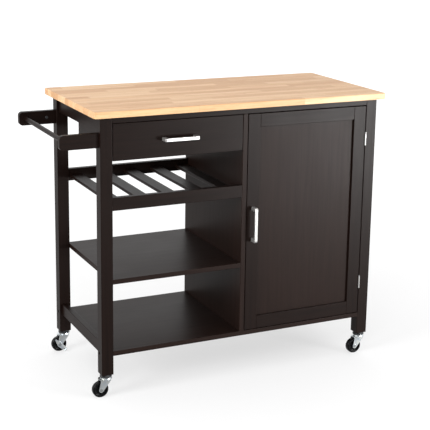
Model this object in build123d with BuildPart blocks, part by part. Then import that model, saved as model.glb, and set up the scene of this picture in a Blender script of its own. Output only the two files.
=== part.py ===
"""Kitchen island cart: worktop, drawer, bottle rack, two open shelves, cabinet, towel rack, four casters.

Frame: millimetres, +Z up, +X to the right, +Y to the back, drawer and door facing -Y.
Origin: on the floor, at the centre of the whole cart's plan, towel rack and handles included.
"""
import os
from math import cos, radians, sin

from build123d import *

os.makedirs("parts", exist_ok=True)

# ---------------------------------------------------------------- driving dimensions
inch = 25.4
top_length = 39.5 * inch
top_depth = 19 * inch
top_thickness = 20
total_height = 35.5 * inch
bay_width = 17 * inch              # drawer, bottle rack and shelves
shelf_depth = 17 * inch
shelf_gap = 8.5 * inch             # clear height over each open shelf
drawer_zone = 4.5 * inch           # drawer front with its gap

leg_size = 38
leg_bottom = 73.7                  # height of the casters
side_inset = 23.6                  # worktop overhang at the left and right
front_inset = 16.8                 # worktop overhang at the front and back
board = 16                         # upright panels
shelf_board = 15                   # level boards
rail_thickness = 18
rail_recess = 8                    # side rails stand back from the legs' outer faces
front_rail_height = 19
apron_height = 53
side_rail_height = 38
bottle_rail_height = 40
bottom_board_z = 134.6
edge = 1.0                         # eased edges of the painted wood

arm_overhang = 97.8                # towel arms beyond the worktop's left edge
arm_height = 44
arm_thickness = 18
arm_centre_z = 812
arm_corner = 12
rod_radius = 7.5
rod_inset = 22                     # rod centre from the arms' outer ends
rod_socket = 8

handle_length = 4.5 * inch
handle_reach = 27
handle_width = 10
handle_bar = 6
handle_foot = 12
handle_round = 6
handle_inside_round = 4
handle_easing = 0.8

# ---------------------------------------------------------------- places worked out from them
handle_overhang = handle_reach - front_inset
left = arm_overhang - (top_length + arm_overhang) / 2
right = left + top_length
front = handle_overhang - (top_depth + handle_overhang) / 2
back = front + top_depth

frame_left = left + side_inset
frame_right = right - side_inset
frame_front = front + front_inset
frame_back = back - front_inset
bay_left = frame_left + leg_size
bay_right = bay_left + bay_width
door_left = bay_right + board
door_right = frame_right - leg_size
cabinet_right = frame_right - rail_recess - board
shelf_back = frame_front + shelf_depth
legs_front_back = frame_front + leg_size
legs_rear_front = frame_back - leg_size

top_underside = total_height - top_thickness
front_rail_z = top_underside - front_rail_height
apron_z = top_underside - apron_height
drawer_zone_z = front_rail_z - drawer_zone
bottom_board_top = bottom_board_z + shelf_board
shelf_middle_z = bottom_board_top + shelf_gap
shelf_middle_top = shelf_middle_z + shelf_board
bottle_rail_z = shelf_middle_top + shelf_gap
bottle_rail_top = bottle_rail_z + bottle_rail_height


def span_centre(span):
    """Middle of a (low, high) pair."""
    return (span[0] + span[1]) / 2


def span_size(span):
    """Length of a (low, high) pair."""
    return span[1] - span[0]


def front_plane(x, y, z):
    """A sketch plane seen from the front: its x is +X, its y is +Z, its normal points to -Y."""
    return Plane(origin=(x, y, z), x_dir=(1, 0, 0), z_dir=(0, -1, 0))


def side_plane(x, y, z):
    """A sketch plane seen from the right: its x is +Y, its y is +Z, its normal points to +X."""
    return Plane(origin=(x, y, z), x_dir=(0, 1, 0), z_dir=(1, 0, 0))


def board_solid(x, y, z, easing=edge, cuts=()):
    """A rectangular board over three spans, its edges eased, with the given solids cut away."""
    with BuildPart() as piece:
        with BuildSketch(Plane.XY.offset(z[0])):
            with Locations((span_centre(x), span_centre(y))):
                Rectangle(span_size(x), span_size(y))
        extrude(amount=span_size(z))
        if easing:
            fillet(piece.edges(), radius=easing)
        for cut in cuts:
            add(cut, mode=Mode.SUBTRACT)
    return piece.part


def save(part, name):
    """Label a finished piece and write its STEP file."""
    part.label = name
    export_step(part, f"parts/{name}.step")


# ---------------------------------------------------------------- casters
wheel_radius = 25.4
wheel_width = 18
hub_width = 21
hub_radius = 9
tread_round = 4
tread_depth = 7
web_slope = 1.5                    # rise of the web where it meets the tread
hub_taper = 2
wheel_web_depth = 3.5
axle_radius = 3.0
running_gap = 0.06
trail = 19                         # swivel axis to axle
cheek_inside = 11.2
cheek_thickness = 2
cheek_end_radius = 7.5
cheek_top_width = 32
cheek_top_shift = -3               # the cheeks' tops from the swivel axis, towards the axle
crown_z = 57
crown_thickness = 2
crown_length = 44
crown_margin = 4                   # crown beyond the cheeks
race_radius = 17
race_taper = 12                    # degrees
race_top = 63
cap_underside = 63.5
cap_radius = 19
cap_chamfer = 1.5
cap_shoulder = 16.5
cap_shoulder_height = 2.5
stem_radius = 4
stem_length = 28
stem_chamfer = 1.5
rivet_radius = 7
rivet_tip_radius = 5
rivet_height = 3
rivet_gap = 0.5
axle_head = 5
axle_head_thickness = 1.5
axle_head_round = 0.9
brake_thickness = 1.5
brake_gap = 0.25
brake_width = 17                   # at the axle
brake_tip_width = 6                # at the free end, which points up
brake_tip_shift = 3                # free end towards the upper edge
brake_up = 25
brake_down = 26
brake_tilt = -45                   # degrees from level, foot end low
brake_tab = 9
brake_tab_width = 12
brake_tab_root = 4

caster_places = {
    "front_left": (frame_left + leg_size / 2, frame_front + leg_size / 2),
    "front_right": (frame_right - leg_size / 2, frame_front + leg_size / 2),
    "rear_left": (frame_left + leg_size / 2, frame_back - leg_size / 2),
    "rear_right": (frame_right - leg_size / 2, frame_back - leg_size / 2),
}
braked_casters = ("rear_left", "rear_right")


def caster_stem(x, y):
    """Bearing cap under the leg, the riveted kingpin below it and the stem that goes up into the leg."""
    rivet_top = crown_z - rivet_gap
    stem_top = leg_bottom + stem_length
    with BuildPart() as stem:
        with BuildSketch(front_plane(x, y, 0)):
            with BuildLine():
                Polyline(
                    (0, rivet_top - rivet_height), (rivet_tip_radius, rivet_top - rivet_height),
                    (rivet_radius, rivet_top - rivet_height / 2), (rivet_radius, rivet_top),
                    (stem_radius, rivet_top), (stem_radius, cap_underside),
                    (cap_radius - cap_chamfer, cap_underside), (cap_radius, cap_underside + cap_chamfer),
                    (cap_radius, leg_bottom - 2 * cap_shoulder_height),
                    (cap_shoulder, leg_bottom - cap_shoulder_height), (cap_shoulder, leg_bottom),
                    (stem_radius, leg_bottom), (stem_radius, stem_top - stem_chamfer),
                    (stem_radius - stem_chamfer, stem_top), (0, stem_top),
                    close=True,
                )
            make_face()
        revolve(axis=Axis((x, y, 0), (0, 0, 1)))
    return stem.part


def caster_fork(x, y):
    """Pressed fork: an oval crown with a bearing ring, and two tapered cheeks down to the axle."""
    bore_radius = stem_radius + running_gap
    with BuildPart() as fork:
        for side in (-1, 1):
            cheek_face = y + side * cheek_inside
            with BuildSketch(front_plane(x, cheek_face, 0)):
                with Locations((-trail, wheel_radius)):
                    Circle(cheek_end_radius)
                with Locations((cheek_top_shift, crown_z)):
                    Rectangle(cheek_top_width, 2 * crown_thickness)
                make_hull()
                with Locations((-trail, wheel_radius)):
                    Circle(axle_radius, mode=Mode.SUBTRACT)
            extrude(amount=-side * cheek_thickness)
        with BuildSketch(Plane.XY.offset(crown_z)):
            with Locations((x + cheek_top_shift, y)):
                SlotOverall(crown_length, 2 * (cheek_inside + cheek_thickness + crown_margin))
        extrude(amount=crown_thickness)
        with BuildSketch(Plane.XY.offset(crown_z + crown_thickness)):
            with Locations((x, y)):
                Circle(race_radius)
        extrude(amount=race_top - crown_z - crown_thickness, taper=race_taper)
        with BuildSketch(Plane.XY.offset(crown_z)):
            with Locations((x, y)):
                Circle(bore_radius)
        extrude(amount=race_top - crown_z, mode=Mode.SUBTRACT)
    return fork.part


def caster_axle(x, y, braked):
    """Riveted axle through both cheeks; with a brake it is longer at the front to carry the lever."""
    outside = cheek_inside + cheek_thickness
    front_reach = outside
    if braked:
        front_reach = outside + brake_thickness + 2 * brake_gap
    start = y + outside + axle_head_thickness
    steps = (
        (axle_head, axle_head_thickness),
        (axle_radius, outside + front_reach),
        (axle_head, axle_head_thickness),
    )
    with BuildPart() as axle:
        place = start
        for radius, length in steps:
            with BuildSketch(front_plane(x - trail, place, wheel_radius)):
                Circle(radius)
            extrude(amount=length)
            place = place - length
        ends = axle.faces().filter_by(Axis.Y).sort_by(Axis.Y)
        fillet([ends[0].edges()[0], ends[-1].edges()[0]], radius=axle_head_round)
    return axle.part


def caster_wheel(x, y):
    """Moulded wheel: rounded tread, dished sides and a hub bored for the axle."""
    bore = axle_radius + running_gap
    half = wheel_width / 2
    web = half - wheel_web_depth
    tread_inside = wheel_radius - tread_depth
    with BuildPart() as wheel:
        with BuildSketch(side_plane(x - trail, y, wheel_radius)) as half_wheel:
            with BuildLine():
                Polyline(
                    (-hub_width / 2, bore), (-hub_width / 2, hub_radius - hub_taper), (-web, hub_radius),
                    (-web, tread_inside - web_slope), (-half, tread_inside), (-half, wheel_radius),
                    (half, wheel_radius), (half, tread_inside), (web, tread_inside - web_slope),
                    (web, hub_radius), (hub_width / 2, hub_radius - hub_taper), (hub_width / 2, bore),
                    close=True,
                )
            make_face()
            fillet(half_wheel.vertices().group_by(Axis.Y)[-1], radius=tread_round)
        revolve(axis=Axis((x - trail, y, wheel_radius), (0, 1, 0)))
    return wheel.part


def caster_brake(x, y):
    """Side lever on the axle: a leaf-shaped plate with its foot tab turned outwards at the low end."""
    inner_face = y - cheek_inside - cheek_thickness - brake_gap
    along = (cos(radians(brake_tilt)), 0, sin(radians(brake_tilt)))
    lever_plane = Plane(origin=(x - trail, inner_face, wheel_radius), x_dir=along, z_dir=(0, -1, 0))
    tip_radius = brake_tip_width / 2
    with BuildPart() as lever:
        with BuildSketch(lever_plane):
            Circle(brake_width / 2)
            with Locations((tip_radius - brake_up, brake_tip_shift)):
                Circle(tip_radius)
            with Locations((brake_down - brake_tab_root / 2, 0)):
                Rectangle(brake_tab_root, brake_tab_width)
            make_hull()
            Circle(axle_radius + running_gap, mode=Mode.SUBTRACT)
        extrude(amount=brake_thickness)
        with BuildSketch(lever_plane):
            with Locations((brake_down - brake_thickness / 2, 0)):
                Rectangle(brake_thickness, brake_tab_width)
        extrude(amount=brake_tab)
    return lever.part


with BuildPart() as caster_stems:
    for place in caster_places.values():
        add(caster_stem(*place))
save(caster_stems.part, "caster_stems")

for corner, place in caster_places.items():
    braked = corner in braked_casters
    save(caster_fork(*place), f"caster_{corner}_fork")
    save(caster_axle(*place, braked), f"caster_{corner}_axle")
    save(caster_wheel(*place), f"caster_{corner}_wheel")
    if braked:
        save(caster_brake(*place), f"caster_{corner}_brake")

# ---------------------------------------------------------------- bolts and screws
bolt_radius = 3
bolt_head_radius = 4.5
bolt_head_height = 4
bolt_recess = 4                    # depth of the leg bolts' heads below the leg face
arm_bolt_recess = 1                # the same for the towel arms' bolts, inside the legs
arm_bolt_end = 2                   # arm bolts beyond their nuts
bolt_line = 15                     # leg bolts from the legs' inner arrises
bolt_z = bottom_board_z + shelf_board / 2
bolt_bite = 32                     # length beyond the leg
nut_radius = 5
nut_length = 13
nut_distance = 30                  # barrel nuts from the legs' faces
thread_gap = 0.15

leg_bolt_rows = (legs_front_back - bolt_line, legs_rear_front + bolt_line)
arm_rows = (frame_front + leg_size / 2, frame_back - leg_size / 2)
arm_inner_faces = (arm_rows[0] + arm_thickness / 2, arm_rows[1] - arm_thickness / 2)

arm_bolt_tip = frame_left - nut_distance - nut_radius - arm_bolt_end
arm_bolt_shank = bay_left - arm_bolt_recess - bolt_head_height - arm_bolt_tip

with BuildPart() as joint_bolts:
    for y in leg_bolt_rows:
        for face, inward in ((frame_left, 1), (frame_right, -1)):
            with BuildSketch(side_plane(face + inward * bolt_recess, y, bolt_z)):
                Circle(bolt_head_radius)
            extrude(amount=inward * bolt_head_height)
            with BuildSketch(side_plane(face + inward * (bolt_recess + bolt_head_height), y, bolt_z)):
                Circle(bolt_radius)
            extrude(amount=inward * (leg_size + bolt_bite - bolt_recess - bolt_head_height))
    for y in arm_rows:
        with BuildSketch(side_plane(bay_left - arm_bolt_recess, y, arm_centre_z)):
            Circle(bolt_head_radius)
        extrude(amount=-bolt_head_height)
        with BuildSketch(side_plane(bay_left - arm_bolt_recess - bolt_head_height, y, arm_centre_z)):
            Circle(bolt_radius)
        extrude(amount=-arm_bolt_shank)

with BuildPart() as nut_spaces:
    for face, outward in zip(arm_inner_faces, (1, -1)):
        with BuildSketch(front_plane(frame_left - nut_distance, face, arm_centre_z)):
            Circle(nut_radius)
        extrude(amount=outward * nut_length)

with BuildPart() as bolts_and_nuts:
    add(nut_spaces.part)
    for y in arm_rows:
        with BuildSketch(side_plane(frame_left, y, arm_centre_z)):
            Circle(bolt_radius + thread_gap)
        extrude(amount=-(nut_distance + 2 * nut_radius), mode=Mode.SUBTRACT)
    add(joint_bolts.part)
save(bolts_and_nuts.part, "joint_bolts")

with BuildPart() as bolt_recesses:
    for y in leg_bolt_rows:
        for face, inward in ((frame_left, 1), (frame_right, -1)):
            with BuildSketch(side_plane(face, y, bolt_z)):
                Circle(bolt_head_radius)
            extrude(amount=inward * bolt_recess)
    for y in arm_rows:
        with BuildSketch(side_plane(bay_left, y, arm_centre_z)):
            Circle(bolt_head_radius)
        extrude(amount=-arm_bolt_recess)

screw_radius = 1.75
screw_head_radius = 3.2
hinge_screw_head_radius = 2.8
screw_head_height = 1.2
screw_length = 14
top_screw_length = 28
rear_screw_recess = apron_height - 14
runner_height = 30
runner_sheet = 1.5
runner_z = 803
runner_front = frame_front + 20
runner_length = 250
runner_screw_rows = (frame_front + 28, frame_front + 200)
top_screw_columns = (bay_left + 60, (bay_left + door_right) / 2 - 30, door_right - 60)
front_screw_y = frame_front + rail_thickness / 2
rear_screw_y = shelf_back + board / 2
hinge_height = 42
hinge_leaf_sheet = 0.9
hinge_leaf_width = 13
hinge_end_distance = 109
door_gap = 2
door_bottom = bottom_board_top + door_gap
door_top = front_rail_z - door_gap
hinge_centres = (door_bottom + hinge_end_distance, door_top - hinge_end_distance)
hinge_screw_offsets = (-12, 12)
hinge_screw_y = frame_front + 8

with BuildPart() as wood_screws:
    for x in top_screw_columns:
        for y, z in ((front_screw_y, front_rail_z), (rear_screw_y, apron_z + rear_screw_recess)):
            with BuildSketch(Plane.XY.offset(z)):
                with Locations((x, y)):
                    Circle(screw_head_radius)
            extrude(amount=screw_head_height)
            with BuildSketch(Plane.XY.offset(z + screw_head_height)):
                with Locations((x, y)):
                    Circle(screw_radius)
            extrude(amount=top_screw_length - screw_head_height)
    for y in runner_screw_rows:
        for face, outward in ((bay_left, -1), (bay_right, 1)):
            with BuildSketch(side_plane(face - outward * (runner_sheet + screw_head_height), y, runner_z)):
                Circle(screw_head_radius)
            extrude(amount=outward * screw_head_height)
            with BuildSketch(side_plane(face - outward * runner_sheet, y, runner_z)):
                Circle(screw_radius)
            extrude(amount=outward * screw_length)
    for centre in hinge_centres:
        for offset in hinge_screw_offsets:
            with BuildSketch(side_plane(door_right - hinge_leaf_sheet, hinge_screw_y, centre + offset)):
                Circle(hinge_screw_head_radius)
            extrude(amount=screw_head_height)
            with BuildSketch(side_plane(door_right, hinge_screw_y, centre + offset)):
                Circle(screw_radius)
            extrude(amount=screw_length)
save(wood_screws.part, "wood_screws")

with BuildPart() as rear_screw_wells:
    with BuildSketch(Plane.XY.offset(apron_z)):
        with Locations(*[(x, rear_screw_y) for x in top_screw_columns]):
            Circle(screw_head_radius)
    extrude(amount=rear_screw_recess)

fasteners = (joint_bolts.part, wood_screws.part)

# ---------------------------------------------------------------- worktop and legs
worktop_corner = 9
worktop_top_round = 3
worktop_low_round = 1.5
leg_easing = 1.5
sheet_easing = 0.5

with BuildPart() as worktop:
    with BuildSketch(Plane.XY.offset(top_underside)):
        with Locations(((left + right) / 2, (front + back) / 2)):
            RectangleRounded(top_length, top_depth, worktop_corner)
    extrude(amount=top_thickness)
    fillet(worktop.faces().sort_by(Axis.Z)[-1].edges(), radius=worktop_top_round)
    fillet(worktop.faces().sort_by(Axis.Z)[0].edges(), radius=worktop_low_round)
    add(wood_screws.part, mode=Mode.SUBTRACT)
save(worktop.part, "worktop")

leg_spans = {
    "leg_front_left": ((frame_left, bay_left), (frame_front, legs_front_back)),
    "leg_rear_left": ((frame_left, bay_left), (legs_rear_front, frame_back)),
    "leg_front_right": ((door_right, frame_right), (frame_front, legs_front_back)),
    "leg_rear_right": ((door_right, frame_right), (legs_rear_front, frame_back)),
}
leg_cuts = (*fasteners, bolt_recesses.part, caster_stems.part)
for name, (x, y) in leg_spans.items():
    save(board_solid(x, y, (leg_bottom, top_underside), easing=leg_easing, cuts=leg_cuts), name)

# ---------------------------------------------------------------- rails, apron and panels
rail_front_top = board_solid(
    (bay_left, door_right), (frame_front, frame_front + rail_thickness), (front_rail_z, top_underside),
    cuts=(wood_screws.part,),
)
save(rail_front_top, "rail_front_top")

rail_rear_top = board_solid(
    (bay_left, door_right), (shelf_back, shelf_back + board), (apron_z, top_underside),
    cuts=(wood_screws.part, rear_screw_wells.part),
)
save(rail_rear_top, "rail_rear_top")

side_rail_x = (frame_left + rail_recess, frame_left + rail_recess + rail_thickness)
deep_apron_back = frame_front + 219    # the apron is deeper in front of this, where it carries the runner
deep_apron_z = 777
with BuildPart() as apron_left:
    with BuildSketch(side_plane(side_rail_x[0], 0, 0)) as apron_outline:
        with BuildLine():
            Polyline(
                (legs_front_back, deep_apron_z), (deep_apron_back, deep_apron_z),
                (deep_apron_back, apron_z), (legs_rear_front, apron_z),
                (legs_rear_front, top_underside), (legs_front_back, top_underside),
                close=True,
            )
        make_face()
    extrude(amount=rail_thickness)
    fillet(apron_left.edges(), radius=edge)
    add(wood_screws.part, mode=Mode.SUBTRACT)
save(apron_left.part, "apron_left")

rail_left_bottom = board_solid(
    side_rail_x, (legs_front_back, legs_rear_front), (bottom_board_z, bottom_board_z + side_rail_height),
)
save(rail_left_bottom, "rail_left_bottom")

# shelf pins: half in their holes, half under the cabinet shelf
pin_radius = 2.5
pin_depth = 8
pin_rows = (frame_front + 95, frame_front + 380)
cabinet_shelf_height = 340         # clear height under the loose shelf
cabinet_shelf_z = bottom_board_top + cabinet_shelf_height
with BuildPart() as shelf_pins:
    for y in pin_rows:
        for face in (door_left, cabinet_right):
            with BuildSketch(side_plane(face - pin_depth, y, cabinet_shelf_z - pin_radius)):
                Circle(pin_radius)
            extrude(amount=2 * pin_depth)
save(shelf_pins.part, "shelf_pins")

panel_right = board_solid(
    (cabinet_right, cabinet_right + board), (legs_front_back, legs_rear_front),
    (bottom_board_z, top_underside),
    cuts=(shelf_pins.part, *fasteners),
)
save(panel_right, "panel_right")

with BuildPart() as panel_divider:
    with BuildSketch(side_plane(bay_right, 0, 0)):
        with BuildLine():
            Polyline(
                (frame_front, bottom_board_top), (shelf_back, bottom_board_top), (shelf_back, top_underside),
                (frame_front + rail_thickness, top_underside), (frame_front + rail_thickness, front_rail_z),
                (frame_front, front_rail_z),
                close=True,
            )
        make_face()
    extrude(amount=board)
    fillet(panel_divider.edges(), radius=edge)
    add(shelf_pins.part, mode=Mode.SUBTRACT)
    add(wood_screws.part, mode=Mode.SUBTRACT)
save(panel_divider.part, "panel_divider")

back_sheet = 4
panel_back = board_solid(
    (bay_right, door_right), (shelf_back, shelf_back + back_sheet), (bottom_board_z, apron_z),
    easing=sheet_easing,
)
save(panel_back, "panel_back")

# ---------------------------------------------------------------- level boards
with BuildPart() as board_bottom:
    with BuildSketch(Plane.XY.offset(bottom_board_z)):
        with BuildLine():
            Polyline(
                (bay_left, frame_front), (door_right, frame_front), (door_right, legs_front_back),
                (cabinet_right, legs_front_back), (cabinet_right, legs_rear_front),
                (door_right, legs_rear_front),
                (door_right, shelf_back), (bay_left, shelf_back), (bay_left, legs_rear_front),
                (side_rail_x[1], legs_rear_front), (side_rail_x[1], legs_front_back),
                (bay_left, legs_front_back),
                close=True,
            )
        make_face()
    extrude(amount=shelf_board)
    fillet(board_bottom.faces().filter_by(Axis.Z).edges(), radius=edge)
    add(joint_bolts.part, mode=Mode.SUBTRACT)
save(board_bottom.part, "board_bottom")

shelf_middle = board_solid(
    (bay_left, bay_right), (frame_front, shelf_back), (shelf_middle_z, shelf_middle_top),
)
save(shelf_middle, "shelf_middle")

shelf_play = 1
cabinet_shelf_front = frame_front + 60
with BuildPart() as cabinet_shelf:
    with BuildSketch(Plane.XY.offset(cabinet_shelf_z)):
        with BuildLine():
            Polyline(
                (door_left + shelf_play, cabinet_shelf_front),
                (cabinet_right - shelf_play, cabinet_shelf_front),
                (cabinet_right - shelf_play, legs_rear_front - shelf_play),
                (door_right - shelf_play, legs_rear_front - shelf_play),
                (door_right - shelf_play, shelf_back - shelf_play),
                (door_left + shelf_play, shelf_back - shelf_play),
                close=True,
            )
        make_face()
    extrude(amount=shelf_board)
    fillet(cabinet_shelf.faces().filter_by(Axis.Z).edges(), radius=edge)
save(cabinet_shelf.part, "cabinet_shelf")

# ---------------------------------------------------------------- bottle rack
slat_count = 5
slat_width = 43
slat_thickness = 10
slat_round = 2.5
slat_top = 617
slat_pitch = 94.8
slat_span_y = (frame_front + rail_thickness, shelf_back - rail_thickness)
bottle_bay_centre = (bay_left + bay_right) / 2

bottle_rails = {
    "bottle_rail_front": (frame_front, frame_front + rail_thickness),
    "bottle_rail_rear": (shelf_back - rail_thickness, shelf_back),
}
for name, y in bottle_rails.items():
    save(board_solid((bay_left, bay_right), y, (bottle_rail_z, bottle_rail_top)), name)

with BuildPart() as bottle_slats:
    with BuildSketch(Plane.XY.offset(slat_top - slat_thickness)):
        with Locations((bottle_bay_centre, span_centre(slat_span_y))):
            with GridLocations(slat_pitch, 1, slat_count, 1):
                Rectangle(slat_width, span_size(slat_span_y))
    extrude(amount=slat_thickness)
    fillet(bottle_slats.edges().filter_by(Axis.Y), radius=slat_round)
save(bottle_slats.part, "bottle_slats")

# ---------------------------------------------------------------- drawer runners
side_play = 13                     # drawer box to bay side, filled by the runners
inner_runner_height = 26
runner_flange = 10
moving_flange_start = 3            # moving runners' flanges stop this far from the fixed webs
packer_height = 36
packer_z = (runner_z - packer_height / 2, runner_z + packer_height / 2)

runner_packer = board_solid(
    (side_rail_x[1], bay_left), (legs_front_back, deep_apron_back), packer_z,
    easing=sheet_easing, cuts=(wood_screws.part,),
)
save(runner_packer, "runner_packer")


def channel(x_web, inward, y, height, flange):
    """A steel channel along Y: an upright web at x_web and two flanges reaching inward."""
    with BuildPart() as piece:
        with BuildSketch(Plane(origin=(x_web, y, runner_z), x_dir=(inward, 0, 0), z_dir=(0, inward, 0))):
            with Locations((flange / 2, 0)):
                Rectangle(flange, height)
            with Locations((flange / 2 + runner_sheet, 0)):
                Rectangle(flange, height - 2 * runner_sheet, mode=Mode.SUBTRACT)
        extrude(amount=inward * runner_length)
    return piece.part


with BuildPart() as runners_fixed:
    add(channel(bay_left, 1, runner_front, runner_height, runner_flange))
    add(channel(bay_right, -1, runner_front, runner_height, runner_flange))
    add(wood_screws.part, mode=Mode.SUBTRACT)
save(runners_fixed.part, "runners_fixed")

moving_flange = side_play - moving_flange_start
with BuildPart() as runners_moving:
    add(channel(bay_left + side_play, -1, runner_front - 2, inner_runner_height, moving_flange))
    add(channel(bay_right - side_play, 1, runner_front - 2, inner_runner_height, moving_flange))
save(runners_moving.part, "runners_moving")

# ---------------------------------------------------------------- towel rack
arm_end = left - arm_overhang
rod_x = arm_end + rod_inset

with BuildPart() as towel_rod:
    with BuildSketch(front_plane(rod_x, arm_inner_faces[0] - rod_socket, arm_centre_z)):
        Circle(rod_radius)
    extrude(amount=-(arm_inner_faces[1] - arm_inner_faces[0] + 2 * rod_socket))
save(towel_rod.part, "towel_rod")

for name, row in zip(("towel_arm_front", "towel_arm_rear"), arm_rows):
    with BuildPart() as towel_arm:
        with BuildSketch(front_plane(0, row + arm_thickness / 2, 0)) as arm_outline:
            with Locations(((arm_end + frame_left) / 2, arm_centre_z)):
                Rectangle(frame_left - arm_end, arm_height)
            fillet(arm_outline.vertices().group_by(Axis.X)[0], radius=arm_corner)
        extrude(amount=arm_thickness)
        fillet(towel_arm.faces().filter_by(Axis.Y).edges(), radius=edge)
        add(towel_rod.part, mode=Mode.SUBTRACT)
        add(joint_bolts.part, mode=Mode.SUBTRACT)
        add(nut_spaces.part, mode=Mode.SUBTRACT)
    save(towel_arm.part, name)


# ---------------------------------------------------------------- pull handles
handle_screw_radius = 2
handle_screw_head_radius = 4
handle_screw_head_height = 2.2
handle_screw_bite = 12


def handle_plane(x, z, upright):
    """A plane on the front face: its x runs along the handle, its y points out of the cart."""
    if upright:
        return Plane(origin=(x, frame_front, z), x_dir=(0, 0, 1), z_dir=(1, 0, 0))
    return Plane(origin=(x, frame_front, z), x_dir=(1, 0, 0), z_dir=(0, 0, -1))


def screw_places(x, z, upright):
    """Centres of a handle's two feet on the front face, as (x, z)."""
    reach = (handle_length - handle_foot) / 2
    if upright:
        return ((x, z - reach), (x, z + reach))
    return ((x - reach, z), (x + reach, z))


def handle_screws(x, z, upright, panel_thickness):
    """Two machine screws from behind the panel into the handle's feet."""
    panel_back_y = frame_front + panel_thickness
    with BuildPart() as screws:
        for foot_x, foot_z in screw_places(x, z, upright):
            with BuildSketch(front_plane(foot_x, panel_back_y + handle_screw_head_height, foot_z)):
                Circle(handle_screw_head_radius)
            extrude(amount=handle_screw_head_height)
            with BuildSketch(front_plane(foot_x, panel_back_y, foot_z)):
                Circle(handle_screw_radius)
            extrude(amount=panel_thickness + handle_screw_bite)
    return screws.part


def bridge_handle(x, z, upright, screws):
    """A cast bridge handle: a flat bar on two feet, rounded at its outer corners."""
    with BuildPart() as handle:
        with BuildSketch(handle_plane(x, z, upright)) as outline:
            with Locations((0, handle_reach / 2)):
                Rectangle(handle_length, handle_reach)
            with Locations((0, (handle_reach - handle_bar) / 2)):
                Rectangle(handle_length - 2 * handle_foot, handle_reach - handle_bar, mode=Mode.SUBTRACT)
            feet, inside_corners, outside_corners = outline.vertices().group_by(Axis.Y)
            fillet(outside_corners, radius=handle_round)
            fillet(inside_corners, radius=handle_inside_round)
        extrude(amount=handle_width / 2, both=True)
        flanks = Axis.Z.direction if not upright else Axis.X.direction
        fillet(handle.faces().filter_by(Axis((0, 0, 0), flanks)).edges(), radius=handle_easing)
        add(screws, mode=Mode.SUBTRACT)
    return handle.part


# ---------------------------------------------------------------- drawer
drawer_gap = 1.5
drawer_front_thickness = 16
drawer_side_thickness = 12
drawer_box_z = (760, 845)
drawer_box_length = 300
drawer_bottom_z = drawer_box_z[0] + 8
drawer_sheet = 4
drawer_groove = 5
drawer_box_front = frame_front + drawer_front_thickness
drawer_box_back = drawer_box_front + drawer_box_length
drawer_left = bay_left + side_play
drawer_right = bay_right - side_play

drawer_front_x = (bay_left + drawer_gap, bay_right - drawer_gap)
drawer_front_z = (drawer_zone_z, front_rail_z - drawer_gap)
drawer_handle_at = (span_centre(drawer_front_x), span_centre(drawer_front_z), False)

groove_inset = drawer_side_thickness - drawer_groove
drawer_bottom = board_solid(
    (drawer_left + groove_inset, drawer_right - groove_inset),
    (drawer_box_front - drawer_groove, drawer_box_back), (drawer_bottom_z, drawer_bottom_z + drawer_sheet),
    easing=0,
)
save(drawer_bottom, "drawer_bottom")

drawer_handle_screws = handle_screws(*drawer_handle_at, drawer_front_thickness)
save(drawer_handle_screws, "drawer_handle_screws")
save(bridge_handle(*drawer_handle_at, drawer_handle_screws), "drawer_handle")

drawer_front = board_solid(
    drawer_front_x, (frame_front, drawer_box_front), drawer_front_z,
    cuts=(drawer_bottom, drawer_handle_screws),
)
save(drawer_front, "drawer_front")

drawer_sides = {
    "drawer_side_left": (drawer_left, drawer_left + drawer_side_thickness),
    "drawer_side_right": (drawer_right - drawer_side_thickness, drawer_right),
}
for name, x in drawer_sides.items():
    save(board_solid(x, (drawer_box_front, drawer_box_back), drawer_box_z, cuts=(drawer_bottom,)), name)

drawer_back = board_solid(
    (drawer_left + drawer_side_thickness, drawer_right - drawer_side_thickness),
    (drawer_box_back - drawer_side_thickness, drawer_box_back),
    (drawer_bottom_z + drawer_sheet, drawer_box_z[1]),
)
save(drawer_back, "drawer_back")

# ---------------------------------------------------------------- door
door_thickness = 18
door_member = 43
door_panel_face = 7                # how far the flat panel stands back
door_panel_thickness = 6
door_tongue = 7
door_x = (door_left + door_gap, door_right - door_gap)
door_y = (frame_front, frame_front + door_thickness)
door_inside_x = (door_x[0] + door_member, door_x[1] - door_member)
door_inside_z = (door_bottom + door_member, door_top - door_member)
door_handle_at = (door_x[0] + door_member / 2, (door_bottom + door_top) / 2, True)

door_panel = board_solid(
    (door_inside_x[0] - door_tongue, door_inside_x[1] + door_tongue),
    (frame_front + door_panel_face, frame_front + door_panel_face + door_panel_thickness),
    (door_inside_z[0] - door_tongue, door_inside_z[1] + door_tongue),
    easing=0,
)
save(door_panel, "door_panel")

door_handle_screws = handle_screws(*door_handle_at, door_thickness)
save(door_handle_screws, "door_handle_screws")
save(bridge_handle(*door_handle_at, door_handle_screws), "door_handle")

# magnetic catch on the divider, with its steel plate on the door's left stile
catch_z = (door_top - 90, door_top - 50)
catch_width = 14
catch_depth = 16
catch_easing = 0.8
catch_plate_thickness = 1.2
catch_plate_easing = 0.3
catch_gap = 0.4
catch_x = (door_left, door_left + catch_width)
catch_plate_x = (door_x[0] + 1, catch_x[1] + 4)
catch_front = door_y[1] + catch_plate_thickness + catch_gap
catch_magnet = board_solid(catch_x, (catch_front, catch_front + catch_depth), catch_z, easing=catch_easing)
save(catch_magnet, "catch_magnet")
catch_plate = board_solid(
    catch_plate_x, (door_y[1], door_y[1] + catch_plate_thickness), catch_z, easing=catch_plate_easing,
)
save(catch_plate, "catch_plate")

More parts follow.
